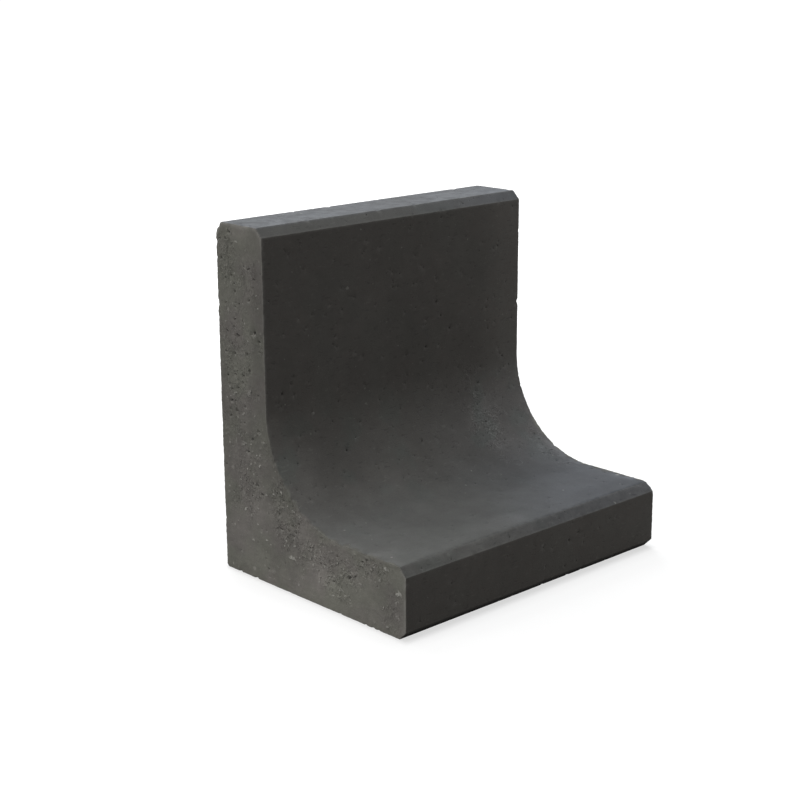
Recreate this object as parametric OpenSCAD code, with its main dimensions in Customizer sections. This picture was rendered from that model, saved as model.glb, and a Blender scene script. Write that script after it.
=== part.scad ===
// L-shaped retaining wall element, cast in one piece from dense concrete.
// It stands on its foot. The wall's plain outer face looks along +Y, and the foot
// reaches in, along -Y, under the bank that the wall holds back. Elements are set
// end to end in a row along X, so both ends are plain.
// Frame: millimetres, +Z up, origin at floor level under the middle of the element.

/* [Overall] */
// Length of the element along the row that it is set in
element_length = 400; // [200:10:1000]
// Height from the floor to the top of the wall
element_height = 400; // [300:10:1000]
// Depth from the wall's outer face to the tip of the foot
element_depth = 300; // [240:10:600]

/* [Thickness] */
// Thickness of the upright wall
wall_thickness = 80; // [50:1:140]
// Thickness of the foot
foot_thickness = 80; // [50:1:140]

/* [Edges] */
// Radius of the rounded hollow between the wall and the foot
hollow_radius = 120; // [20:1:160]
// Width of the bevels along both edges of the wall's top
top_bevel = 10; // [2:0.5:20]
// Width of the bevels along both edges of the foot's tip
tip_bevel = 10; // [2:0.5:20]
// Width of the small bevel along the bottom of the outer face
base_bevel = 3; // [1:0.5:10]

/* [Hidden] */
concrete_grey = [0.33, 0.33, 0.31];
$fn = 96;

// A hollow ends where the flat of the wall or of the foot meets its bevel
wall_flat = element_height - foot_thickness - top_bevel;
foot_flat = element_depth - wall_thickness - tip_bevel;
hollow = min(hollow_radius, wall_flat, foot_flat);
// How far the corner's concrete runs into the wall and the foot, to join them
corner_overlap = min(wall_thickness, foot_thickness) / 2;

// Section of the wall and the foot, from the outer face (x = 0) to the foot's tip
module wall_and_foot() {
    wall_shoulder = element_height - top_bevel;
    foot_shoulder = element_depth - tip_bevel;
    polygon([
        [base_bevel, 0],
        [foot_shoulder, 0],
        [element_depth, tip_bevel],
        [element_depth, foot_thickness - tip_bevel],
        [foot_shoulder, foot_thickness],
        [wall_thickness, foot_thickness],
        [wall_thickness, wall_shoulder],
        [wall_thickness - top_bevel, element_height],
        [top_bevel, element_height],
        [0, wall_shoulder],
        [0, base_bevel]
    ]);
}

// Section of the inner corner, filled with concrete up to the rounded hollow
module filled_corner() {
    translate([wall_thickness, foot_thickness])
        difference() {
            translate([-corner_overlap, -corner_overlap])
                square(hollow + corner_overlap);
            translate([hollow, hollow])
                circle(r = hollow);
        }
}

// The whole element: its section swept along its length
module l_element() {
    color(concrete_grey)
        translate([0, element_depth / 2, 0])
            rotate([90, 0, -90])
                linear_extrude(height = element_length, center = true) {
                    wall_and_foot();
                    filled_corner();
                }
}

l_element();
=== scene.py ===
"""Looks of an L-shaped retaining wall element: one closed concrete mesh in the place of its CAD solid.

The outline of the section is walked once round as strips, which run along X, and two end faces close them.
Each of these faces is triangulated on its own, with air pits as rings of points, and neighbours share their
points along every edge, so the mesh is closed. All relief goes inwards, so it stays inside the CAD solid.
"""

import math

import bpy
import numpy as np
from mathutils import Matrix, Vector, noise
from mathutils.geometry import delaunay_2d_cdt
from mathutils.kdtree import KDTree


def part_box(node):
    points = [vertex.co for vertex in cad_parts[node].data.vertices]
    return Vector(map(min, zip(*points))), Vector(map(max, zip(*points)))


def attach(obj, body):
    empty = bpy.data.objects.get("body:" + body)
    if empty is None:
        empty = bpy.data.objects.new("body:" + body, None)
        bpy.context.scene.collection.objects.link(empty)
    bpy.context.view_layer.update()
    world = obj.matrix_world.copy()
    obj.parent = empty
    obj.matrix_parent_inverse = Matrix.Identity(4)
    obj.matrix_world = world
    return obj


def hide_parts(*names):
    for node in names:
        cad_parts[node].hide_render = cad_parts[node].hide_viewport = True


MM = 0.001
SEED = 41

# Section of the element, as in the CAD solid
WALL = 80 * MM
FOOT = 80 * MM
HOLLOW = 120 * MM
BEVEL = 10 * MM
BASE_BEVEL = 3 * MM

# Spacing of the mesh's points
ARRIS_STEP = 2 * MM
END_EDGE_STEP = 1.5 * MM
ROW_OFFSET = 0.75 * MM

# How far from a border the points follow its wear, and how far from a corner a border's points do
FOLLOW_WIDTH = 4 * MM
CORNER_WIDTH = 3 * MM

# Chips: how many on each arris, how many more on the foot's, and their mean spacing along the end edges
ARRIS_CHIPS = 14
FOOT_CHIPS = 90
END_CHIP_STEP = 11 * MM

# Where along the inside its end edges turn ragged, and the spacing of the chips that make them so
RAGGED_FROM = 235 * MM
RAGGED_STEP = 4.5 * MM

# The mesh's layers for its material, in the order that Concrete reads them
LAYERS = ("pit", "dust_and_lit_lip", "end_face", "openness", "pale", "bloom_and_sky_light", "arris")

# Camera: the point it aims at, seen from the element's centre, and where it stands, seen from that point.
# Azimuth 0 is +Y and 90 is +X
CAMERA_AIM = (-0.0371, 0.0310, -0.0099)
CAMERA_AZIMUTH = 223.12
CAMERA_ELEVATION = 15.44
CAMERA_ROLL = -0.28
CAMERA_DISTANCE = 1.8468
CAMERA_LENS = 73.27
SENSOR = 36.0

# Soft square lamps: name, azimuth, elevation, size in metres, power in watts, colour
SKY = (0.95, 0.975, 1.0)
LAMP_DISTANCE = 3.0
LAMPS = (
    ("overhead", 0, 90, 1.8, 39.0, SKY),
    ("back", 20, 37, 2.6, 63.0, SKY),
    ("left", 288, 8, 1.8, 36.0, (1.0, 0.98, 0.94)),
    ("front", 144, 8, 1.8, 5.0, (1.0, 0.98, 0.95)),
)
FLOOR_SIZE = 30.0

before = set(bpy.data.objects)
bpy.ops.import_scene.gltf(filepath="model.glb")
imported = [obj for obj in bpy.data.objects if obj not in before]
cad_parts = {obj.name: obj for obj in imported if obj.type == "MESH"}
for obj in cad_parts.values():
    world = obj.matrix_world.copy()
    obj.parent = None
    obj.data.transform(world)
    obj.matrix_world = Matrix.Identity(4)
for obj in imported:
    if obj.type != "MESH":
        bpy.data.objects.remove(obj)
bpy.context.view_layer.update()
rng = np.random.default_rng(SEED)
foot_rng = np.random.default_rng(SEED + 1)


def rows(*columns):
    """Rows out of columns, any of which can be one number for all rows."""
    return np.column_stack(np.broadcast_arrays(*columns))


# ---- section

def straight(start, end):
    """A straight part of the outline: its length, and a function for its points and normals."""
    start, end = np.array(start), np.array(end)
    length = float(np.hypot(*(end - start)))
    along = (end - start) / length
    outward = np.array([along[1], -along[0]])

    def at(s):
        return start + np.outer(s, along), np.tile(outward, (len(s), 1))

    return length, at


def hollow_arc(centre, radius):
    """The quarter circle from the wall down to the foot, likewise."""

    def at(s):
        angle = -np.asarray(s) / radius
        spoke = rows(np.cos(angle), np.sin(angle))
        return np.array(centre) + radius * spoke, -spoke

    return radius * math.pi / 2, at


class Strip:
    """A strip of the formed surface: parts of the outline, swept along X."""

    def __init__(self, name, *parts):
        self.name = name
        self.parts = parts
        self.length = sum(length for length, _ in parts)

    def at(self, s):
        """Points (y, z) and outward normals at the distances s along the strip."""
        s = np.clip(np.asarray(s, float), 0, self.length)
        points, normals = np.zeros((2, len(s), 2))
        start = 0.0
        for length, at in self.parts:
            here = (s >= start) & (s <= start + length + 1e-9)
            points[here], normals[here] = at(s[here] - start)
            start += length
        return points, normals

    def spot(self, s):
        """The one point (y, z) at distance s."""
        return self.at([s])[0][0]


class Section:
    """The element's outline in the YZ plane, walked with the concrete on the left."""

    def __init__(self, lowest, highest):
        self.outer = highest.y
        self.tip = lowest.y
        self.top = highest.z
        self.inner = self.outer - WALL
        self.centre = (self.inner - HOLLOW, FOOT + HOLLOW)
        starts = {
            "base": (self.tip + BEVEL, 0),
            "base_bevel": (self.outer - BASE_BEVEL, 0),
            "outer_face": (self.outer, BASE_BEVEL),
            "outer_bevel": (self.outer, self.top - BEVEL),
            "wall_top": (self.outer - BEVEL, self.top),
            "inner_bevel": (self.inner + BEVEL, self.top),
            "inside": (self.inner, self.top - BEVEL),
            "tip_bevel": (self.tip + BEVEL, FOOT),
            "tip_face": (self.tip, FOOT - BEVEL),
            "tip_under": (self.tip, BEVEL),
        }
        ends = list(starts.values())[1:] + [starts["base"]]
        strips = {name: Strip(name, straight(starts[name], end)) for name, end in zip(starts, ends)}
        self.inside = strips["inside"] = Strip(
            "inside",
            straight(starts["inside"], (self.inner, self.centre[1])),
            hollow_arc(self.centre, HOLLOW),
            straight((self.centre[0], FOOT), starts["tip_bevel"]),
        )
        self.strips = list(strips.values())

    def depth(self, y, z):
        """Distance of points from the outline, positive in the concrete."""
        diagonal = math.sqrt(0.5)
        cy, cz = self.centre
        from_arc = np.hypot(y - cy, z - cz) - HOLLOW
        from_inside = np.where(z >= cz, y - self.inner, np.where(y <= cy, FOOT - z, from_arc))
        sides = [z, self.outer - y, self.top - z, y - self.tip, from_inside]
        sides.append((self.outer - BASE_BEVEL - y + z) * diagonal)
        sides.append((self.outer - y + self.top - BEVEL - z) * diagonal)
        sides.append((y - self.tip - BEVEL + z) * diagonal)
        wall_bevel = ((y - self.inner) + (self.top - BEVEL - z)) * diagonal
        foot_bevel = ((y - self.tip) + (FOOT - BEVEL - z)) * diagonal
        depth = np.minimum.reduce(sides)
        depth = np.where(z > cz, np.minimum(depth, wall_bevel), depth)
        return np.where(y < cy, np.minimum(depth, foot_bevel), depth)


# ---- relief

# Sizes in these four tables are in mm. Places where an end's texture is open: y, z, half sizes, strength
OPEN_PLACES = (
    (142, 384, 6, 10, 1.0),
    (130, 358, 14, 34, 0.9),
    (98, 345, 22, 26, 0.7),
    (118, 245, 30, 85, 0.8),
    (75, 272, 6, 12, 1.0),
    (105, 155, 45, 28, 0.5),
    (106, 112, 24, 30, 0.9),
    (48, 104, 20, 26, 1.0),
    (32, 76, 26, 26, 1.0),
    (-12, 54, 40, 26, 0.8),
    (-45, 44, 30, 24, 1.0),
    (-95, 66, 34, 14, 0.8),
    (-128, 30, 16, 22, 0.5),
)

# Places where the end faces' tone differs: y, z, half sizes, how much paler
END_TONES = (
    (110, 392, 30, 14, 0.45),
    (112, 240, 14, 50, 0.25),
    (82, 290, 10, 70, -0.35),
    (100, 118, 55, 35, 0.22),
    (45, 45, 50, 26, -0.60),
    (-128, 40, 22, 32, -0.35),
    (-26, 32, 18, 12, 0.50),
)

# Places where the inside's tone differs: distance along it from the top, x, half sizes, how much paler
INSIDE_TONES = (
    (260, -185, 55, 30, 0.60),
    (310, -95, 28, 60, 0.35),
    (270, 122, 45, 28, 0.35),
    (345, 110, 40, 90, -0.25),
    (440, -180, 24, 20, 0.40),
    (452, -30, 20, 35, 0.50),
    (455, 150, 22, 60, -0.30),
)

# Worn corners of the end faces: y, z, reach, depth
WORN_CORNERS = (
    (-141, 79, 8, 1.2),
    (-149, 71, 6, 0.7),
    (150, 390, 5, 1.1),
    (145, 395, 4, 1.0),
    (150, 377, 4, 1.2),
)


def field(points, size, octaves, offset):
    """Smooth noise from 0 to 1 at 3D points. Its largest features are about size mm across."""
    shift = Vector((offset, offset * 0.7, -offset))
    values = [
        noise.fractal(Vector(p) / (size * MM) + shift, 0.8, 2.0, octaves, noise_basis="PERLIN_ORIGINAL")
        for p in points
    ]
    return np.clip(0.5 + 0.5 * np.array(values), 0, 1)


def ease(low, high, x):
    """From 0 at low, smoothly, to 1 at high."""
    t = np.clip((x - low) / (high - low), 0, 1)
    return t * t * (3 - 2 * t)


def patches(across, up, places, ragged):
    """Sum of soft, ragged patches, each given by its centre and half sizes in mm and its strength."""
    total = np.zeros(len(across))
    for centre_across, centre_up, half_across, half_up, strength in places:
        gap = np.hypot((across / MM - centre_across) / half_across, (up / MM - centre_up) / half_up)
        total += strength * ease(1.5, 0.3, gap + ragged)
    return total


class Chips:
    """Small pieces broken out along the arrises."""

    def __init__(self, section, half):
        self.rows = []
        corners = [strip.spot(0) for strip in section.strips for _ in range(ARRIS_CHIPS)]
        places = [[self.along_arris(rng, half), *corner] for corner in corners]
        for side in (-half, half):
            for strip in section.strips:
                for _ in range(round(strip.length / END_CHIP_STEP) if strip.length > 30 * MM else 0):
                    places.append([side, *strip.spot(rng.uniform(5 * MM, strip.length - 5 * MM))])
        for place in places:
            large = rng.random() ** 5
            self.add(place, 1.0 + 3.0 * large, 0.25 + 1.0 * large)
        self.add_ragged_edges(section.inside, half)
        for _ in range(FOOT_CHIPS):
            place = [self.along_arris(foot_rng, half), *section.inside.spot(section.inside.length)]
            large = foot_rng.random() ** 2
            self.add(place, 1.4 + 2.2 * large, 0.4 + 0.7 * large)

    def along_arris(self, generator, half):
        """A random x clear of the ends."""
        return generator.uniform(6 * MM - half, half - 6 * MM)

    def add_ragged_edges(self, inside, half):
        """Makes the end edges ragged along the hollow and the foot, and wears the corners."""
        for side in (-half, half):
            for s in np.arange(RAGGED_FROM, inside.length, RAGGED_STEP):
                place = [side, *inside.spot(s + rng.uniform(0, 4 * MM))]
                large = rng.random() ** 2
                self.add(place, 1.6 + 3.4 * large, (0.6 + 1.3 * large) * (1.0 if side < 0 else 0.3))
            for y, z, reach, depth in WORN_CORNERS:
                self.add([side, y * MM, z * MM], reach, depth)

    def add(self, place, reach, depth):
        """Adds a chip, with its reach and depth in mm."""
        self.rows.append((np.array(place), reach * MM, depth * MM))

    def depth(self, points):
        """Depth that the chips take off a face at the points."""
        depth = np.zeros(len(points))
        for place, reach, deepest in self.rows:
            near = np.abs(points - place).max(axis=1) < reach
            if near.any():
                gap = np.linalg.norm(points[near] - place, axis=1) / reach
                depth[near] = np.maximum(depth[near], deepest * np.clip(1 - gap * gap, 0, 1))
        return depth


class Pits:
    """Air pits and crumbs on one face. A crumb's depth is negative."""

    def __init__(self):
        self.rows = []

    def try_add(self, u, v, radius, depth, angle, stretch):
        """Adds a pit or crumb unless it would touch another."""
        for other_u, other_v, other_radius, _, _, other_stretch in self.rows:
            reach = radius * stretch + other_radius * other_stretch
            if math.hypot(u - other_u, v - other_v) < 1.25 * reach + 0.1 * MM:
                return
        self.rows.append((u, v, radius, depth, angle, stretch))

    def rings(self):
        """Points in the face's plane, each with its depth, its share of its pit's depth and its pit."""
        places, depths, shares, owners = [np.zeros((0, 2))], [], [], []
        for k, (u, v, radius, depth, angle, stretch) in enumerate(self.rows):
            steps = [(1.0, 0.0), (0.62, 0.65) if depth > 0 else (0.7, 0.9)]
            if radius > 1.3 * MM:
                steps.append((0.30, 0.93))
            count = 7 if radius < 0.8 * MM else 9 if radius < 1.3 * MM else 12
            lobes = 1 + rng.uniform(-0.42, 0.42, count)
            turn = rng.uniform(0, math.tau) + math.tau * np.arange(count) / count
            for reach, share in steps:
                long_way = radius * stretch * reach * lobes * np.cos(turn)
                short_way = radius * reach * lobes * np.sin(turn)
                across = u + long_way * math.cos(angle) - short_way * math.sin(angle)
                up = v + long_way * math.sin(angle) + short_way * math.cos(angle)
                places.append(rows(across, up))
                shares += [share] * count
            places.append([[u, v]])
            shares.append(1.0)
            added = len(steps) * count + 1
            depths += [depth] * added
            owners += [k] * added
        shares = np.array(shares, float)
        return np.concatenate(places), np.array(depths, float) * shares, shares, np.array(owners, int)

    def dust_and_lit_lip(self, face, places, shares, owners):
        """How much pale colour lies at each point: dust and a painted highlight on the lower lip of a pit,
        and dust all over a crumb.
        """
        pits = np.array(self.rows).reshape(-1, 6)
        centres = face.place(pits[:, :2])[0]
        drop = (centres[owners, 2] - face.place(places)[0][:, 2]) / pits[owners, 2]
        on_wall = np.where(shares > 0.99, 0.0, np.where(shares > 0, 1.0, 0.35))
        amount = rng.uniform(0.1, 1.0, len(pits))[owners]
        on_crumb = amount ** 1.3 * shares
        return np.where(pits[owners, 3] < 0, on_crumb, amount * on_wall * ease(0.15, 0.75, drop))

    def clear_of(self, uv):
        """Which points lie clear of every pit."""
        keep = np.ones(len(uv), bool)
        for u, v, radius, _, _, stretch in self.rows:
            keep &= np.hypot(uv[:, 0] - u, uv[:, 1] - v) > 1.15 * radius * stretch + 0.3 * MM
        return keep


# ---- faces

def low_inside(points):
    """1 along the lower hollow and the foot, 0 along the wall, the tip and the base."""
    _, y, z = points.T
    return ease(0.19, 0.13, z) * ease(0.03, 0.06, z) * ease(-0.141, -0.137, y)


def jittered_grid(lowest, highest, step):
    """Points of an uneven triangular grid that fills a rectangle."""
    points = np.concatenate([
        rows(np.arange(lowest[0] + (i % 2) * step / 2, highest[0], step), v)
        for i, v in enumerate(np.arange(lowest[1], highest[1], step * math.sqrt(0.75)))
    ])
    return points + rng.uniform(-0.27, 0.27, points.shape) * step


class FormedFace:
    """A strip cast against the mould: dense, with scattered air pits. Its uv are s along it and x."""

    PIT_TRIES = {"inside": 260, "outer_face": 200, "base": 60, "wall_top": 20, "tip_face": 22}
    OTHER_TRIES = 8
    # Rough patches: s and x of the centre and half sizes in mm, and strength
    ROUGH = {
        "inside": [(266, 122, 40, 22, 0.65), (330, 180, 40, 14, 0.4)],
        "outer_face": [(90, -120, 30, 40, 0.6), (250, 90, 45, 30, 0.6)],
    }
    ROUGH_MARKS = 28
    ROUGH_PITS = 12
    # Pale bloom on the upward faces, partly painted sky light
    BLOOM_AND_SKY_LIGHT = {"wall_top": 1.0, "outer_bevel": 0.7, "inner_bevel": 0.7, "tip_bevel": 0.58}

    def __init__(self, strip, half):
        self.strip = strip
        self.name = strip.name
        self.length = strip.length
        self.half = half
        self.size = ((0, -half), (strip.length, half))

    def place(self, uv):
        yz, normals = self.strip.at(uv[:, 0])
        return rows(uv[:, 1], *yz.T), rows(0.0, *normals.T)

    def from_end(self, uv):
        """Distance from the nearer end of the element."""
        return self.half - np.abs(uv[:, 1])

    def room(self, uv):
        """Distance from the face's border."""
        return np.minimum.reduce([uv[:, 0], self.length - uv[:, 0], self.from_end(uv)])

    def from_foot_arris(self, uv):
        """Distance from the arris above the tip's bevel, the most knocked about of all."""
        if self.name == "inside":
            return self.length - uv[:, 0]
        return uv[:, 0] if self.name == "tip_bevel" else np.full(len(uv), 1.0)

    def openness(self, uv, points):
        if self.name not in self.ROUGH:
            return np.zeros(len(uv))
        ragged = 2.4 * (field(points, 20, 3, 53) - 0.5)
        rough = np.clip(patches(*uv.T, self.ROUGH[self.name], ragged), 0, 1)
        return rough * ease(0, 4 * MM, self.room(uv))

    def paleness(self, uv, points):
        """How much paler the face is."""
        s, x = uv.T
        if self.name == "inside":
            return self.inside_paleness(s, x, uv, points)
        if self.name == "tip_bevel":
            bits = ease(0.40, 0.60, field(points, 9, 3, 97))
            middle = ease(-0.08, 0.06, x) * (1 - 0.7 * ease(0.12, 0.18, x))
            return 0.19 + 0.25 * (bits - 0.5) - 0.4 * middle
        # The bevels under the tip and at the base are painted darker, as shade
        if self.name == "tip_under":
            return -1.2 - 0.45 * ease(0, self.length, s)
        return np.full(len(uv), {"base_bevel": -0.9, "tip_face": 0.12}.get(self.name, 0.0))

    def inside_paleness(self, s, x, uv, points):
        """Paler in the hollow, towards the ends and in ragged bits along the foot's edges; paler towards
        the right end is painted light, darker on the foot's right is painted shade.
        """
        on_hollow, on_foot = ease(0.19, 0.25, s), ease(0.31, 0.38, s)
        hollow = 0.26 * ease(0.15, 0.21, s) * ease(0.33, 0.27, s)
        # Paler up the wall and the hollow towards the right end: painted light from the right
        right = 0.75 * ease(0.12, 0.19, x) * (1 - on_hollow)
        right += 1.05 * ease(0.06, 0.19, x) * on_hollow * (1 - on_foot)
        left = 0.4 * ease(0.09, 0.18, -x) * ease(0.26, 0.32, s)
        bits = ease(0.42, 0.60, field(points, 14, 3, 83))
        rim = bits * ease(16 * MM, 5 * MM, self.from_end(uv))
        rim *= np.where(x > 0, 0.7 * on_hollow, 0.45 * on_foot)
        # Darker on the foot towards the right end: painted shade
        tones = hollow + right + left + rim - 0.25 * on_foot * ease(0.08, 0.17, x)
        # Darker, in patches, within 6 mm of the foot's arris
        foot_arris_darkening = 0.5 + ease(0.40, 0.60, field(points, 6, 3, 101))
        tones -= 0.36 * foot_arris_darkening * ease(6 * MM, 0, self.from_foot_arris(uv))
        ragged = field(points, 30, 2, 61) - 0.5
        return tones + patches(s, x, INSIDE_TONES, ragged)

    def bloom_and_sky_light(self, uv):
        """How much pale bloom rain has left, partly painted sky light: most on what lies level."""
        if self.name == "inside":
            return 0.28 * ease(0.17, 0.27, uv[:, 0]) + 0.72 * ease(0.27, 0.39, uv[:, 0])
        return np.full(len(uv), self.BLOOM_AND_SKY_LIGHT.get(self.name, 0.0))

    def end_finish(self, uv, points):
        """Where the end's finish laps over the edge, in ragged bits along the hollow and the foot."""
        if self.name != "inside":
            return np.zeros(len(uv))
        ragged = 12 * field(points, 9, 3, 71) - 3.0
        reach = ragged * MM * ease(0.22, 0.30, uv[:, 0])
        return ease(-1 * MM, 1.5 * MM, reach - self.from_end(uv))

    def grid(self):
        """Uneven points, closer together near the border and in rough patches."""
        fine, middle, coarse = (jittered_grid(*self.size, step * MM) for step in (2.1, 3.6, 6.5))
        chosen = []
        for points, nearest, farthest in ((fine, 1.4, 3.6), (middle, 3.6, 9), (coarse, 9, 1000)):
            room = self.room(points) / MM
            chosen.append(points[(room > nearest) & (room <= farthest)])
        grid = np.concatenate(chosen)
        if self.name not in self.ROUGH:
            return grid
        return np.concatenate([grid[~self.in_rough(grid)], fine[self.in_rough(fine)]])

    def in_rough(self, uv):
        """Which points lie in a rough patch, clear of the border."""
        return (self.room(uv) >= 4 * MM) & (self.openness(uv, self.place(uv)[0]) > 0.15)

    def pits(self):
        """Scattered air pits, then the pits and crumbs of the rough patches."""
        pits = Pits()
        for _ in range(self.PIT_TRIES.get(self.name, self.OTHER_TRIES)):
            s, x = rng.uniform(0, self.length), rng.uniform(-self.half, self.half)
            radius = (0.4 + 0.35 * rng.random() + 0.9 * rng.random() ** 5) * MM
            if self.room(np.array([[s, x]]))[0] > 1.7 * radius + 1.2 * MM:
                depth = radius * rng.uniform(0.8, 1.4)
                pits.try_add(s, x, radius, depth, rng.normal(0, 0.4), rng.uniform(1.1, 2.0))
        for s, x, reach_s, reach_x, _ in self.ROUGH.get(self.name, ()):
            for k in range(self.ROUGH_MARKS):
                at = ((s + rng.normal(0, 0.4) * reach_s) * MM, (x + rng.normal(0, 0.4) * reach_x) * MM)
                radius = (0.5 + 0.9 * rng.random()) * MM
                depth = radius * (0.8 if k < self.ROUGH_PITS else -0.35)
                if self.room(np.array([at]))[0] > 4.5 * MM:
                    pits.try_add(*at, radius, depth, rng.uniform(0, math.tau), rng.uniform(1.0, 2.2))
        return pits

    def worn_and_lit_edge(self, uv, points):
        """How worn and pale the edges are, the paleness partly a painted highlight."""
        from_end = self.from_end(uv)
        near_end = ease(3 * MM, 1 * MM, from_end)
        low = low_inside(points)
        share = np.clip(1 - self.room(uv) / (2 * MM), 0, 1) * (1 - 0.85 * near_end * low)
        # Less pale edge, and so less painted highlight, on the tip's face and underside, but near the ends
        if self.name in ("tip_face", "tip_under"):
            share *= 0.2 + 0.8 * near_end
        if self.name != "inside":
            return share
        share *= ease(0, 4 * MM, self.from_foot_arris(uv))
        return np.maximum(share, 1.7 * np.clip(1 - from_end / (3 * MM), 0, 1) * (1 - low))

    def wear(self, uv, points):
        """Depth that wear takes off the edges: more at the ends and along the foot's arris."""
        ends = ease(3 * MM, 0, self.from_end(uv))
        foot = ease(4 * MM, 1 * MM, self.from_foot_arris(uv))
        return (0.06 + 0.4 * np.maximum(ends, foot)) * MM

    def relief(self, points, openness):
        waves = field(points, 80, 2, 31)
        ripples = field(points, 14, 2, 37)
        rough = rng.random(len(points)) ** 2
        return (0.03 + 0.20 * waves + 0.10 * ripples + openness * (0.3 + 0.4 * rough)) * MM


class EndFace:
    """One end of the element: the last concrete filled in, coarser, and struck off. Its uv are y and z."""

    PIT_TRIES = 2400

    def __init__(self, section, x):
        self.section = section
        self.x = x
        spread, kept = (6, 0.2) if x < 0 else (14, 1.0)
        self.drift = rng.normal(0, spread, (len(OPEN_PLACES), 2)) * kept
        self.size = ((section.tip, 0), (section.outer, section.top))

    def place(self, uv):
        return rows(self.x, *uv.T), np.tile([math.copysign(1.0, self.x), 0.0, 0.0], (len(uv), 1))

    def room(self, uv):
        """Distance from the face's border."""
        return self.section.depth(*uv.T)

    def openness(self, uv, points):
        """From 0, trowelled smooth, to 1, coarse and full of pits."""
        ragged = field(points, 22, 3, 3.1 + 5 * np.sign(self.x)) - 0.5
        openness = np.full(len(uv), 0.08)
        for (y, z, half_y, half_z, strength), (off_y, off_z) in zip(OPEN_PLACES, self.drift):
            gap = np.hypot((uv[:, 0] / MM - y - off_y) / half_y, (uv[:, 1] / MM - z - off_z) / half_z)
            openness = np.maximum(openness, strength * ease(1.6, 0.3, gap + 1.4 * ragged))
        return openness * ease(1 * MM, 4 * MM, self.room(uv))

    def paleness(self, uv, points):
        """How much paler the face is: near its top, along the foot, and towards the bottom, where it is
        painted bounce light from the ground.
        """
        y, z = uv.T
        top = ease(0.20, 0.30, z) * ease(0.05, 0.11, y)
        # Paler towards the bottom: painted bounce light from the ground
        low = ease(0.13, 0.05, z) * (1 - 0.6 * ease(0.06, 0.14, y))
        foot = ease(-0.13, -0.08, y) * ease(0.05, 0, y) * ease(0.07, 0.03, z)
        ragged = field(points, 30, 2, 61) - 0.5
        return 0.35 * top + low + 0.3 * foot + patches(y, z, END_TONES, ragged)

    def bloom_and_sky_light(self, uv):
        return np.zeros(len(uv))

    def end_finish(self, uv, points):
        """All of the face has the finish of the end."""
        return np.ones(len(uv))

    def grid(self):
        """Uneven points, closer together where the texture is open."""
        fine, middle = (jittered_grid(*self.size, step * MM) for step in (1.75, 2.7))
        fine = fine[self.room(fine) > 1.3 * MM]
        middle = middle[self.room(middle) > 3.4 * MM]
        open_fine, open_middle = (self.openness(uv, self.place(uv)[0]) > 0.25 for uv in (fine, middle))
        near = self.room(fine) <= 3.4 * MM
        return np.concatenate([fine[near | open_fine], middle[~open_middle]])

    def scattered(self):
        """Random places, each with its openness, its room and how far up the wall it is."""
        uv = rng.uniform(*self.size, (self.PIT_TRIES, 2))
        openness = self.openness(uv, self.place(uv)[0])
        return zip(uv, openness, self.room(uv), ease(0.15, 0.25, uv[:, 1]))

    def pits(self):
        """Air pits, more and larger ones where the texture is open and up the wall, then crumbs."""
        pits = Pits()
        for uv, openness, room, high in self.scattered():
            radius = (0.75 + 0.8 * rng.random() + 1.4 * rng.random() ** 4) * MM
            radius *= (0.65 + 0.35 * openness) * (1 + 0.25 * high)
            chance = (0.016 + 0.30 * openness) * (0.75 + 0.85 * high)
            if room >= 1.7 * radius + 1.2 * MM and rng.random() <= chance:
                depth = radius * rng.uniform(0.7, 1.4)
                pits.try_add(*uv, radius, depth, rng.normal(0, 0.8), rng.uniform(1.0, 2.0))
        for uv, openness, room, high in self.scattered():
            radius = (0.6 + 0.7 * rng.random() + 1.8 * rng.random() ** 4) * MM
            if room >= 2.2 * radius + 1.2 * MM and rng.random() <= openness * (1 - 0.6 * high):
                depth = -radius * rng.uniform(0.25, 0.5)
                pits.try_add(*uv, radius, depth, rng.normal(-0.3, 0.5), rng.uniform(1.2, 2.6))
        return pits

    def worn_and_lit_edge(self, uv, points):
        """How worn and pale the edges are, the paleness partly a painted highlight: in a wider band round
        the top and the tip.
        """
        top, tip = ease(0.375, 0.39, uv[:, 1]), ease(0.138, 0.144, -uv[:, 0])
        share = np.clip(1 - self.room(uv) / ((2 + 3 * top + 3 * tip) * MM), 0, 1)
        return share * (0.35 + 0.65 * np.maximum(top, tip)) * (1 - 0.85 * low_inside(points))

    def wear(self, uv, points):
        """Depth that wear takes off the edges: most along the hollow, the foot and the back."""
        back = ease(self.section.outer - 8 * MM, self.section.outer - 2 * MM, uv[:, 0])
        rim = 0.35 + np.maximum(0.3 * low_inside(points), 0.55 * back)
        return rim * (1.0 if self.x < 0 else 0.6) * MM

    def relief(self, points, openness):
        waves = field(points, 70, 2, 11)
        lumps = field(points, 9, 2, 17)
        crumbs = rng.random(len(points)) ** 2.2
        plain = 0.03 + 0.25 * waves + 0.10 * lumps + 0.05 * crumbs
        return (plain + openness * (0.5 + 0.5 * lumps + 1.1 * crumbs)) * MM


# ---- mesh

def steps_along(length, step):
    """Distances from 0 to length about a step apart, unevenly spaced, with both ends in."""
    count = max(1, round(length / step))
    places = np.linspace(0, length, count + 1)
    places[1:-1] += rng.uniform(-0.25, 0.25, count - 1) * length / count
    return places


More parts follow.
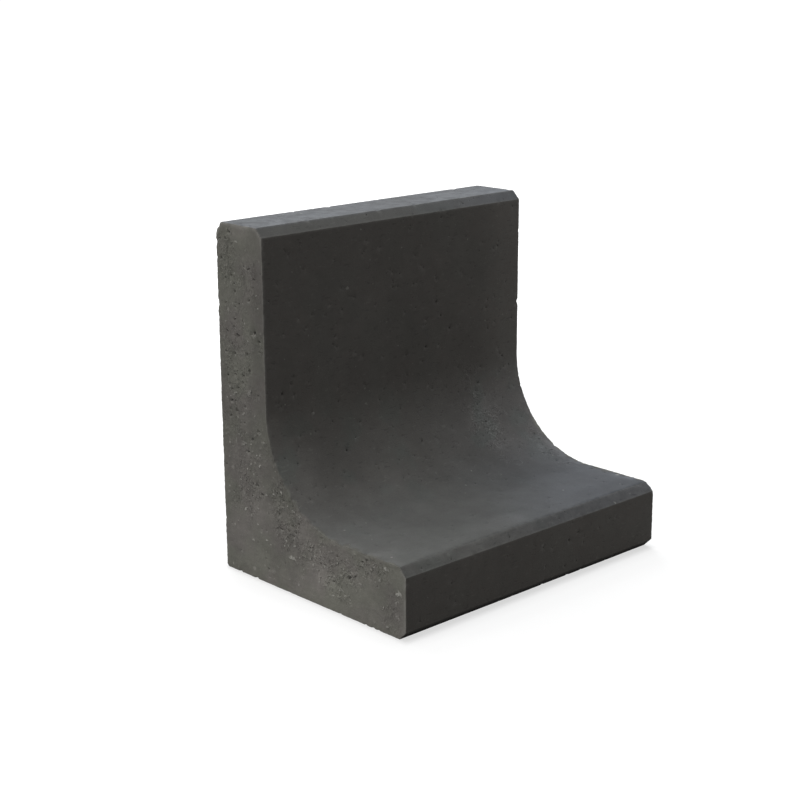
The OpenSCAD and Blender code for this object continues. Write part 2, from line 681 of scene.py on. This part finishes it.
class Skin:
    """The mesh in the making: its points, their push inwards, and triangles with their UVs."""

    def __init__(self):
        self.places, self.faces, self.face_uvs, self.creases = [], [], [], []
        self.pushes, self.rims, self.corners = [], [], []

    def add(self, points):
        """Adds 3D points and returns their numbers."""
        start = len(self.places)
        self.places.extend(np.reshape(points, (-1, 3)))
        return np.arange(start, len(self.places))

    def triangulate(self, uv, numbers, border, flip, uv_origin):
        """Fills a face with triangles. Its first points are its closed border."""
        spots = [Vector(p) for p in uv / MM]
        _, _, triangles, origin, *_ = delaunay_2d_cdt(spots, [], [list(range(border))], 1, 1e-6)
        lowest = uv.min(axis=0)
        for triangle in triangles:
            local = [origin[c][0] for c in triangle]
            if flip:
                local.reverse()
            self.faces.append(numbers[local].tolist())
            self.face_uvs.extend(uv[local] - lowest + uv_origin)


def border_row(uv, face):
    """A row of points just inside a face's border, which keeps its edges tight."""
    following = np.roll(uv, -1, axis=0)
    along = following - uv
    along /= np.linalg.norm(along, axis=1)[:, None]
    inward = rows(-along[:, 1], along[:, 0])
    row = (uv + following) / 2 + inward * ROW_OFFSET * rng.uniform(0.8, 1.2, (len(uv), 1))
    return row[face.room(row) > 0.7 * ROW_OFFSET]


def fill(skin, face, border, border_uv, chips, flip, uv_origin):
    """Adds one face with its relief and its layers for the material."""
    pits = face.pits()
    row = border_row(border_uv, face)
    grid = face.grid()
    ring_uv, ring_depth, ring_share, owners = pits.rings()
    inner_uv = np.concatenate([row, grid[pits.clear_of(grid)], ring_uv])
    inner = skin.add(face.place(inner_uv)[0])
    uv = np.concatenate([border_uv, inner_uv])
    numbers = np.concatenate([border, inner])
    skin.triangulate(uv, numbers, len(border), flip, uv_origin)
    skin.creases.append(rows(border, np.roll(border, -1)))

    points, normals = face.place(uv)
    room = np.maximum(face.room(uv), 0)
    openness = face.openness(uv, points)
    flat = np.zeros(len(uv) - len(ring_uv))
    patchy = 0.6 * field(points, 16, 2, 43) + 0.8 * field(points, 3.5, 2, 47)
    wear = face.wear(uv, points) * patchy * np.exp(-room / (0.7 * MM))
    depth = face.relief(points, openness) + np.maximum(wear, chips.depth(points))
    depth += np.concatenate([flat, ring_depth])
    depth = np.maximum(depth, 0.02 * MM)
    layers = {
        "pit": np.concatenate([flat, np.where(ring_depth < 0, 0.0, ring_share)]),
        "dust_and_lit_lip": np.concatenate([flat, pits.dust_and_lit_lip(face, ring_uv, ring_share, owners)]),
        "end_face": face.end_finish(uv, points),
        "openness": openness,
        "pale": face.paleness(uv, points),
        "bloom_and_sky_light": face.bloom_and_sky_light(uv),
        "arris": face.worn_and_lit_edge(uv, points),
    }
    skin.pushes.append((numbers, normals, depth, layers))
    skin.rims.append((border, inner, normals[len(border):], room[len(border):]))


def build_skin(section, half):
    """All points and triangles of the element, with their relief."""
    skin = Skin()
    strips = section.strips
    corners = [strip.spot(0) for strip in strips]
    sides = (-half, half)
    corner = [[skin.add([x, *yz])[0] for yz in corners] for x in sides]
    skin.corners = corner[0] + corner[1]

    # Arrises, where two strips meet, and the edges where each strip meets the end faces
    arris, edge = [], [[], []]
    for k, yz in enumerate(corners):
        x = steps_along(2 * half, ARRIS_STEP) - half
        middle = skin.add(rows(x[1:-1], *yz))
        arris.append((np.array([corner[0][k], *middle, corner[1][k]]), x))
    for side, x in enumerate(sides):
        for k, strip in enumerate(strips):
            s = steps_along(strip.length, END_EDGE_STEP)
            middle = skin.add(rows(x, *strip.at(s[1:-1])[0].T))
            after = corner[side][(k + 1) % len(strips)]
            edge[side].append((np.array([corner[side][k], *middle, after]), s))

    chips = Chips(section, half)
    shelf = uv_shelf(section, half)
    for k, strip in enumerate(strips):
        (near, near_s), (far, far_s) = edge[0][k], edge[1][k]
        (start, start_x), (end, end_x) = arris[k], arris[(k + 1) % len(strips)]
        border = np.concatenate([near[:-1], end[:-1], far[:0:-1], start[:0:-1]])
        border_uv = [rows(near_s, -half)[:-1], rows(strip.length, end_x)[:-1]]
        border_uv += [rows(far_s, half)[:0:-1], rows(0.0, start_x)[:0:-1]]
        fill(skin, FormedFace(strip, half), border, np.concatenate(border_uv), chips, False, shelf[k])
    for side, x in enumerate(sides):
        border = np.concatenate([numbers[:-1] for numbers, _ in edge[side]])
        border_uv = np.array(skin.places)[border, 1:]
        fill(skin, EndFace(section, x), border, border_uv, chips, side == 0, shelf[len(strips) + side])
    return skin


def uv_shelf(section, half):
    """Where each face starts on the sheet for baking, so that none overlap."""
    gap = 6 * MM
    across = np.cumsum([0.0] + [strip.length + gap for strip in section.strips[:-1]])
    ends = [0.0, section.outer - section.tip + gap]
    return np.concatenate([rows(across, 0.0), rows(ends, 2 * half + gap)])


def mark_creases(mesh, pairs):
    """Marks the edges between the given pairs of points as sharp."""
    creased = {tuple(pair) for pair in np.sort(pairs, axis=1).tolist()}
    for edge in mesh.edges:
        edge.use_edge_sharp = tuple(sorted(edge.vertices)) in creased


def meet_at_edges(offset, shared, pushes):
    """Moves each point that faces share to where their pushed-in surfaces meet."""
    meeting = {number: [] for number in np.flatnonzero(shared > 1)}
    for numbers, normals, depth, _ in pushes:
        for i in np.flatnonzero(shared[numbers] > 1):
            meeting[numbers[i]].append((normals[i], depth[i]))
    for number, faces in meeting.items():
        normals, depths = zip(*faces)
        offset[number] = -np.linalg.pinv(np.array(normals)) @ np.array(depths)


def follow_corners(places, offset, corners, rims):
    """Moves the points of the borders along with the corners that they lead to."""
    borders = np.unique(np.concatenate([rim[0] for rim in rims]))
    for corner in corners:
        gap = places[borders] - places[corner]
        distance = np.linalg.norm(gap, axis=1)
        near = (distance > 0) & (distance < CORNER_WIDTH)
        along = gap[near] / distance[near, None]
        share = (along @ offset[corner]) * (1 - distance[near] / CORNER_WIDTH)
        offset[borders[near]] += along * share[:, None]


def follow_rims(places, offset, rims):
    """Moves the points near each border sideways along with it, so that worn edges do not fold."""
    for border, inner, normals, room in rims:
        rim = KDTree(len(border))
        for number in border:
            rim.insert(places[number], number)
        rim.balance()
        near = np.flatnonzero(room < FOLLOW_WIDTH)
        nearest = [rim.find(places[number])[1] for number in inner[near]]
        moved = offset[nearest]
        into = np.sum(moved * normals[near], axis=1)[:, None] * normals[near]
        offset[inner[near]] += (moved - into) * (1 - room[near] / FOLLOW_WIDTH)[:, None]


def in_scene(name, data):
    """A new object with the data, in the scene."""
    thing = bpy.data.objects.new(name, data)
    bpy.context.scene.collection.objects.link(thing)
    return thing


def mesh_object(name, skin):
    """The skin as a mesh, pushed in by its relief, with the layers for its material."""
    places = np.array(skin.places)
    layers = {key: np.zeros(len(places)) for key in LAYERS}
    shared = np.zeros(len(places))
    offset = np.zeros_like(places)
    for numbers, normals, depth, values in skin.pushes:
        offset[numbers] = -normals * depth[:, None]
        shared[numbers] += 1
        for key, value in values.items():
            layers[key][numbers] += value
    meet_at_edges(offset, shared, skin.pushes)
    follow_corners(places, offset, skin.corners, skin.rims)
    follow_rims(places, offset, skin.rims)
    mesh = bpy.data.meshes.new(name)
    mesh.from_pydata([tuple(p) for p in places + offset], [], skin.faces)
    for key, value in layers.items():
        attribute = mesh.attributes.new(key, "FLOAT", "POINT")
        attribute.data.foreach_set("value", value / shared)
    uvs = np.array(skin.face_uvs)
    sheet = mesh.uv_layers.new(name="OFBake")
    sheet.data.foreach_set("uv", (uvs / uvs.max() * 0.998 + 0.001).ravel())
    mesh.polygons.foreach_set("use_smooth", [True] * len(mesh.polygons))
    mark_creases(mesh, np.concatenate(skin.creases))
    mesh.update()
    return in_scene(name, mesh)


# ---- materials

def grey(level):
    return (level, level, level, 1.0)


# Colours of the concrete, in pairs where it goes from one to the other
END_PASTE = ((0.141, 0.134, 0.127, 1.0), (0.137, 0.137, 0.122, 1.0))
FORMED_PASTE = ((0.0985, 0.0935, 0.0875, 1.0), (0.091, 0.0965, 0.089, 1.0))
# Pale bluish tones of the upward faces, partly painted sky light
BLOOM_AND_SKY_LIGHT_TONES = ((0.151, 0.154, 0.149, 1.0), (0.149, 0.157, 0.171, 1.0))
LIGHT_GRAIN = (0.50, 0.49, 0.46, 1.0)
DARK_GRAIN = grey(0.04)
# Pale worn arrises, partly a painted highlight
WORN_AND_LIT_EDGE = (0.30, 0.295, 0.28, 1.0)
# Painted shade in the pits
PAINTED_PIT_SHADE = grey(0.025)
# Pale dust, and a painted highlight on the pits' lower lips
DUST_AND_LIT_LIP = (0.45, 0.445, 0.42, 1.0)


class Value:
    """An output of a node, to calculate with. Each step adds a node."""

    def __init__(self, tree, socket):
        self.tree = tree
        self.socket = socket

    def math(self, operation, *others):
        inputs = dict(enumerate((self, *others)))
        return self.tree.value("Math", 0, inputs, operation=operation)

    def __add__(self, other):
        return self.math("ADD", other)

    def __sub__(self, other):
        return self.math("SUBTRACT", other)

    def __rsub__(self, other):
        return self.math("MULTIPLY_ADD", -1, other)

    def __mul__(self, other):
        return self.math("MULTIPLY", other)

    def ramp(self, low, high, to_low=0, to_high=1):
        """Maps the value smoothly from low..high to to_low..to_high."""
        inputs = dict(enumerate((self, low, high, to_low, to_high)))
        return self.tree.value("MapRange", "Result", inputs, interpolation_type="SMOOTHSTEP")

    def vector(self, operation, other):
        return self.tree.value("VectorMath", 0, {0: self, 1: other}, operation=operation)

    def scaled(self, *factors):
        """This vector or colour, multiplied by one or more numbers."""
        vector = self
        for factor in factors:
            vector = self.tree.value("VectorMath", 0, {0: vector, 3: factor}, operation="SCALE")
        return vector

    def parts(self):
        """X, Y and Z of this vector, or red, green and blue of this colour."""
        node = self.tree.add("SeparateXYZ", {0: self})
        return [Value(self.tree, socket) for socket in node.outputs]

    def noise(self, scale, detail=2, roughness=0.5, output="Fac"):
        """Smooth noise at this place."""
        inputs = {"Vector": self, "Scale": scale, "Detail": detail, "Roughness": roughness}
        return self.tree.value("TexNoise", output, inputs)

    def cells(self, scale):
        """Voronoi noise at this place: distance from the cell's middle, and the cell's colour."""
        node = self.tree.add("TexVoronoi", {"Vector": self, "Scale": scale}, feature="F1")
        return Value(self.tree, node.outputs["Distance"]), Value(self.tree, node.outputs["Color"])


class Tree:
    """A short way to write a node tree: each call adds a node, with its inputs linked or set."""

    def __init__(self, tree):
        self.nodes = tree.nodes
        self.links = tree.links
        self.nodes.clear()

    def add(self, kind, inputs=None, **settings):
        node = self.nodes.new("ShaderNode" + kind)
        for key, value in settings.items():
            setattr(node, key, value)
        for key, value in (inputs or {}).items():
            if isinstance(value, Value):
                self.links.new(value.socket, node.inputs[key])
            else:
                node.inputs[key].default_value = value
        return node

    def value(self, kind, output, inputs=None, **settings):
        return Value(self, self.add(kind, inputs, **settings).outputs[output])

    def mix(self, factor, a, b):
        return self.value("Mix", 2, {0: factor, 6: a, 7: b}, data_type="RGBA")


def crumbs(place, scale):
    """Rounded grains that stand proud, side by side: 1 on top of a grain, 0 in the gaps."""
    return place.cells(scale)[0].ramp(0.15, 0.75, 1, 0)


def clumps(place, scale, drop):
    """Irregular crumbs, and the same less the painted shadow that each casts drop metres down."""
    crumb = place.noise(scale, 2, 0.6).ramp(0.54, 0.64)
    above = place.vector("ADD", (0, 0, drop)).noise(scale, 2, 0.6).ramp(0.54, 0.64)
    return crumb, crumb - above * 0.7


def ridges(place, scale, width):
    """Thin winding ridges, as a trowel leaves them: 1 on a crest, 0 off it."""
    return (place.noise(scale, 1) - 0.5).math("ABSOLUTE").ramp(0, width, 1, 0)


def grains(place, scale, share, low, high):
    """Scattered grains: a share of the cells of Voronoi noise, in random sizes and strengths."""
    distance, colour = place.cells(scale)
    red, green, blue = colour.parts()
    body = distance.math("DIVIDE", green.ramp(0, 1, 0.22, 0.50)).ramp(0.4, 1.2, 1, 0)
    return body * red.math("LESS_THAN", share) * blue.math("POWER", 1.8).ramp(0, 1, low, high)


class Concrete(Tree):
    """Anthracite concrete: dark and fine where formed, warmer, paler and more open on the ends."""

    def __init__(self, tree, top):
        super().__init__(tree)
        self.pit, self.dust_and_lit_lip, self.end_face, self.coarse, self.pale, self.bloom_and_sky_light, self.arris = (
            self.value("Attribute", "Fac", attribute_name=layer) for layer in LAYERS
        )
        self.formed = 1 - self.end_face
        self.place = self.value("TexCoord", "Object")
        self.x, self.y, self.z = self.place.parts()
        shift = self.place.noise(260, 1, output="Color").vector("SUBTRACT", (0.5, 0.5, 0.5))
        self.bent = self.place.vector("ADD", shift.scaled(3.2 * MM))
        self.breaks = self.place.noise(85, 3, 0.6)
        self.openness = self.coarse * self.breaks.ramp(0.38, 0.58, 0.2, 1)
        self.on_top = self.z.ramp(top - 2.5 * MM, top - 0.5 * MM)
        self.clouds = self.place.noise(7, 4, 0.6)
        self.blotches = self.place.noise(50, 5, 0.66)
        self.smears = self.bent.vector("MULTIPLY", (200, 75, 200)).noise(1, 2, 0.55)
        self.grain = self.place.noise(700, 3, 0.65)
        self.sand = self.place.noise(2100, 1)
        self.proud = crumbs(self.bent, 300) * 0.65 + crumbs(self.bent, 620) * 0.35
        small, small_shaded = clumps(self.bent, 330, 1 * MM)
        large, large_shaded = clumps(self.bent, 165, 1.8 * MM)
        self.crumb = large * 0.6 + small
        self.shaded_crumb = large_shaded * 0.5 + small_shaded
        self.crests = ridges(self.place, 150, 0.035) * self.place.noise(130, 1).ramp(0.46, 0.58)
        scuffs = ridges(self.bent, 60, 0.05) * self.place.noise(55, 1).ramp(0.46, 0.56)
        self.scuffs = scuffs * self.coarse * self.formed

        # Short dark dashes and pale strokes along the formed faces, most of them in the hollow
        marked = self.formed * self.bloom_and_sky_light.ramp(0.4, 1, 1, 0.3)
        dashes = self.place.vector("MULTIPLY", (130, 520, 520)).noise(1).ramp(0.56, 0.68)
        strokes = self.bent.vector("MULTIPLY", (95, 400, 400)).noise(1).ramp(0.57, 0.70)
        self.dashes = dashes * self.breaks.ramp(0.44, 0.62) * marked
        self.strokes = strokes * self.breaks.ramp(0.38, 0.55, 1, 0) * marked

    def by_height(self, low, high):
        """Goes from low near the ground to high up the wall."""
        return self.z.ramp(0.14, 0.24, low, high)

    def tone(self):
        """Tone of the paste, with a pale bloom where rain dries, partly painted sky light, bluer towards
        the right end and on top.
        """
        greenish = self.place.noise(19).ramp(0.50, 0.62) * self.bloom_and_sky_light.ramp(0, 0.25, 0.15, 0.8)
        end_tone = self.mix(self.place.noise(22).ramp(0.35, 0.65), *END_PASTE)
        tone = self.mix(self.end_face, self.mix(greenish, *FORMED_PASTE), end_tone)
        # Bluer towards the right end and on top: painted sky light
        rightness = self.x + self.y.ramp(-0.14, -0.03, 0.08, 0)
        bluer = rightness.ramp(-0.05, 0.21).math("MAXIMUM", self.on_top * 0.8)
        bloom_and_sky_light = self.bloom_and_sky_light * self.clouds.ramp(0.3, 0.7, 0.75, 1) * self.formed
        return self.mix(bloom_and_sky_light, tone, self.mix(bluer, *BLOOM_AND_SKY_LIGHT_TONES))

    def clouded(self, tone):
        """The tone with clouding, mottling, blotches, smears of the trowel, grain and marks."""
        mottling = self.place.noise(65, 4, 0.65).ramp(0.36, 0.62, -1, 1)
        return tone.scaled(
            self.pale * 0.5 + 1,
            self.clouds.ramp(0.3, 0.7, 0.92, 1.08),
            mottling * (self.on_top * 0.12 + 0.03) + 1,
            (self.blotches - 0.5) * (self.end_face * 0.35 + 0.25) + 1,
            (self.smears - 0.5) * (self.openness * 0.35 + self.end_face * 0.28) + 1,
            self.grain.ramp(0.25, 0.75, 0.94, 1.06),
            self.sand.ramp(0.25, 0.75, 0.95, 1.05),
            self.dashes.ramp(0, 1, 1, 0.80),
            self.strokes.ramp(0, 1, 1, 1.22),
        )

    def opened(self, colour):
        """The colour with pale crumbs, partly a painted highlight, a painted shadow under each, crests
        painted paler, partly as a highlight, scuffs, and gaps between grains painted darker as shade.
        """
        gaps = self.proud.ramp(0.10, 0.45, 1, 0)
        contrast = (self.end_face * 0.37 + 0.25) * self.by_height(1, 0.75)
        # Painted highlight and shadow: crumbs paler with a painted shadow under each, crests paler, gaps
        # between grains darker
        level = self.shaded_crumb * contrast + self.crests * 0.25 + 0.16 - gaps * 0.12
        return colour.scaled(level * self.openness + self.scuffs * 0.6 + 1)

    def sanded(self, colour):
        """The colour with sand and aggregate, more of them where the texture is open."""
        share = self.openness * self.openness * 0.20 + self.end_face * 0.01 + 0.012
        strong = self.end_face * self.by_height(1.3, 0.6) * (self.openness * 0.55 + 0.18)
        strong = strong + self.bloom_and_sky_light * 0.35 + 0.2
        colour = self.mix(grains(self.bent, 290, share, 0.05, strong), colour, LIGHT_GRAIN)
        colour = self.mix(grains(self.bent, 150, share * 0.35, 0.05, strong), colour, LIGHT_GRAIN)
        return self.mix(grains(self.bent, 380, share * 0.5, 0.1, 0.5), colour, DARK_GRAIN)

    def weathered(self, colour):
        """The colour with paler worn arrises, partly a painted highlight, painted shade in the pits, and
        dust, which on the pits' lower lips is partly a painted highlight.
        """
        # Paler arrises: wear, and partly a painted highlight
        worn_and_lit_edge = self.arris * self.breaks.ramp(0.35, 0.6, 0.3, 0.75) * (self.end_face * 0.65 + 0.35)
        colour = self.mix(worn_and_lit_edge, colour, WORN_AND_LIT_EDGE)
        # Painted shade in the pits, a little stronger up the wall
        shade = self.pit.ramp(0.5, 0.95) * self.z.ramp(0.20, 0.30, 0.68, 0.85)
        colour = self.mix(shade, colour, PAINTED_PIT_SHADE)
        # Pale dust, partly a painted highlight on the pits' lower lips
        dust_and_lit_lip_strength = (self.coarse * 0.5 + 0.1).math("MAXIMUM", self.end_face * 0.85) * self.by_height(1.3, 1)
        broken = self.bent.noise(420, 3, 0.6).ramp(0.40, 0.54, 0.1, 1.1)
        return self.mix(self.dust_and_lit_lip * dust_and_lit_lip_strength * broken, colour, DUST_AND_LIT_LIP)

    def relief(self):
        """Relief too fine for the mesh."""
        lumps = self.bent.noise(240, 3, 0.65) + self.crests * 0.12 + self.proud * 0.6 + self.crumb * 0.25
        relief = lumps * (self.openness * 2 + 0.05) + self.smears * self.end_face * 0.35
        return relief - self.dashes * 0.10 + self.scuffs * 0.45 + self.grain * 0.08 + self.sand * 0.05

    def finish(self):
        """Links the whole to the material's output."""
        bump = {"Height": self.relief(), "Strength": 1, "Distance": 1 * MM}
        inputs = {
            "Base Color": self.weathered(self.sanded(self.opened(self.clouded(self.tone())))),
            "Roughness": self.blotches.ramp(0.2, 0.8, 0.80, 0.95),
            "Specular IOR Level": 0.15,
            "Normal": self.value("Bump", "Normal", bump),
        }
        shader = self.value("BsdfPrincipled", "BSDF", inputs)
        self.add("OutputMaterial", {"Surface": shader})


def new_material(name):
    material = bpy.data.materials.new(name)
    material.use_nodes = True
    return material


# ---- stage

def seen_directly(tree):
    """1 for rays of the camera and for what shows in gloss or glass, 0 for rays of light."""
    camera, gloss, glass = (
        tree.value("LightPath", f"Is {kind} Ray") for kind in ("Camera", "Glossy", "Transmission")
    )
    return camera.math("MAXIMUM", gloss.math("MAXIMUM", glass))


def pale_floor(lowest, highest):
    """White to the camera but for the object's shadow and a painted contact shadow at its foot, and grey to
    light.
    """
    material = new_material("pale_floor")
    tree = Tree(material.node_tree)
    place = tree.value("TexCoord", "Object")
    distance = tree.value("VectorMath", "Value", {0: place}, operation="LENGTH")
    beyond_x, beyond_y = (
        (along - (low + high) / 2).math("ABSOLUTE") - (high - low) / 2
        for along, low, high in zip(place.parts()[:2], lowest, highest)
    )
    # Painted contact shadow: the glow dims within 8 mm of the footprint, far more in reflections than to
    # the camera
    painted_contact_shadow = beyond_x.math("MAXIMUM", beyond_y).ramp(0, 8 * MM, 0.9, 0)
    shaded = painted_contact_shadow * (1 - tree.value("LightPath", "Is Camera Ray") * 0.85)
    glow = distance.ramp(0.6, 1.6, 0.74, 1) * (1 - shaded)
    plain = tree.value("BsdfDiffuse", 0, {"Color": grey(0.35)})
    lit = tree.value("BsdfDiffuse", 0, {"Color": grey(0.42)})
    shine = tree.value("Emission", 0, {"Color": grey(1), "Strength": glow})
    white = tree.value("AddShader", 0, {0: lit, 1: shine})
    mixed = tree.value("MixShader", 0, {0: seen_directly(tree), 1: plain, 2: white})
    tree.add("OutputMaterial", {"Surface": mixed})
    return material


def add_floor(lowest, highest):
    mesh = bpy.data.meshes.new("floor")
    corners = [(x * FLOOR_SIZE, y * FLOOR_SIZE, 0) for x, y in ((-1, -1), (1, -1), (1, 1), (-1, 1))]
    mesh.from_pydata(corners, [], [(0, 1, 2, 3)])
    mesh.materials.append(pale_floor(lowest, highest))
    in_scene("floor", mesh)


def add_world():
    """White to the camera, and a dim even light to the object."""
    world = bpy.data.worlds.new("studio")
    bpy.context.scene.world = world
    world.use_nodes = True
    tree = Tree(world.node_tree)
    ambient = tree.value("Background", 0, {"Color": (1, 0.97, 0.93, 1), "Strength": 0.18})
    white = tree.value("Background", 0, {"Color": grey(1), "Strength": 1})
    mixed = tree.value("MixShader", 0, {0: seen_directly(tree), 1: ambient, 2: white})
    tree.add("OutputWorld", {"Surface": mixed})


def direction(azimuth, elevation):
    """Unit vector towards an azimuth and an elevation in degrees."""
    azimuth, elevation = math.radians(azimuth), math.radians(elevation)
    level = math.cos(elevation)
    return Vector((math.sin(azimuth) * level, math.cos(azimuth) * level, math.sin(elevation)))


def add_lamp(centre, name, azimuth, elevation, size, power, colour):
    """A soft square lamp that shines at the centre."""
    light = bpy.data.lights.new(name, "AREA")
    light.size = size
    light.energy = power
    light.color = colour
    lamp = in_scene(name, light)
    away = direction(azimuth, elevation)
    lamp.location = centre + away * LAMP_DISTANCE
    lamp.rotation_euler = (-away).to_track_quat("-Z", "Y").to_euler()


def add_camera(centre):
    """The photograph's view: a camera on a sphere round its aim, with a slight roll."""
    camera = in_scene("camera", bpy.data.cameras.new("camera"))
    camera.data.lens = CAMERA_LENS
    camera.data.sensor_width = SENSOR
    back = direction(CAMERA_AZIMUTH, CAMERA_ELEVATION)
    roll = Matrix.Rotation(math.radians(CAMERA_ROLL), 3, "Z")
    turn = (-back).to_track_quat("-Z", "Y").to_matrix() @ roll
    place = centre + Vector(CAMERA_AIM) + back * CAMERA_DISTANCE
    camera.matrix_world = Matrix.Translation(place) @ turn.to_4x4()
    bpy.context.scene.camera = camera


def main():
    lowest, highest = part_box("l_element")
    section = Section(lowest, highest)
    element = mesh_object("concrete_l_element", build_skin(section, highest.x))
    material = new_material("anthracite_concrete")
    Concrete(material.node_tree, highest.z).finish()
    element.data.materials.append(material)
    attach(element, "root")
    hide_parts("l_element")

    centre = (lowest + highest) / 2
    add_camera(centre)
    add_floor(lowest, highest)
    add_world()
    for lamp in LAMPS:
        add_lamp(centre, *lamp)
    bpy.context.scene.view_settings.view_transform = "Standard"


main()
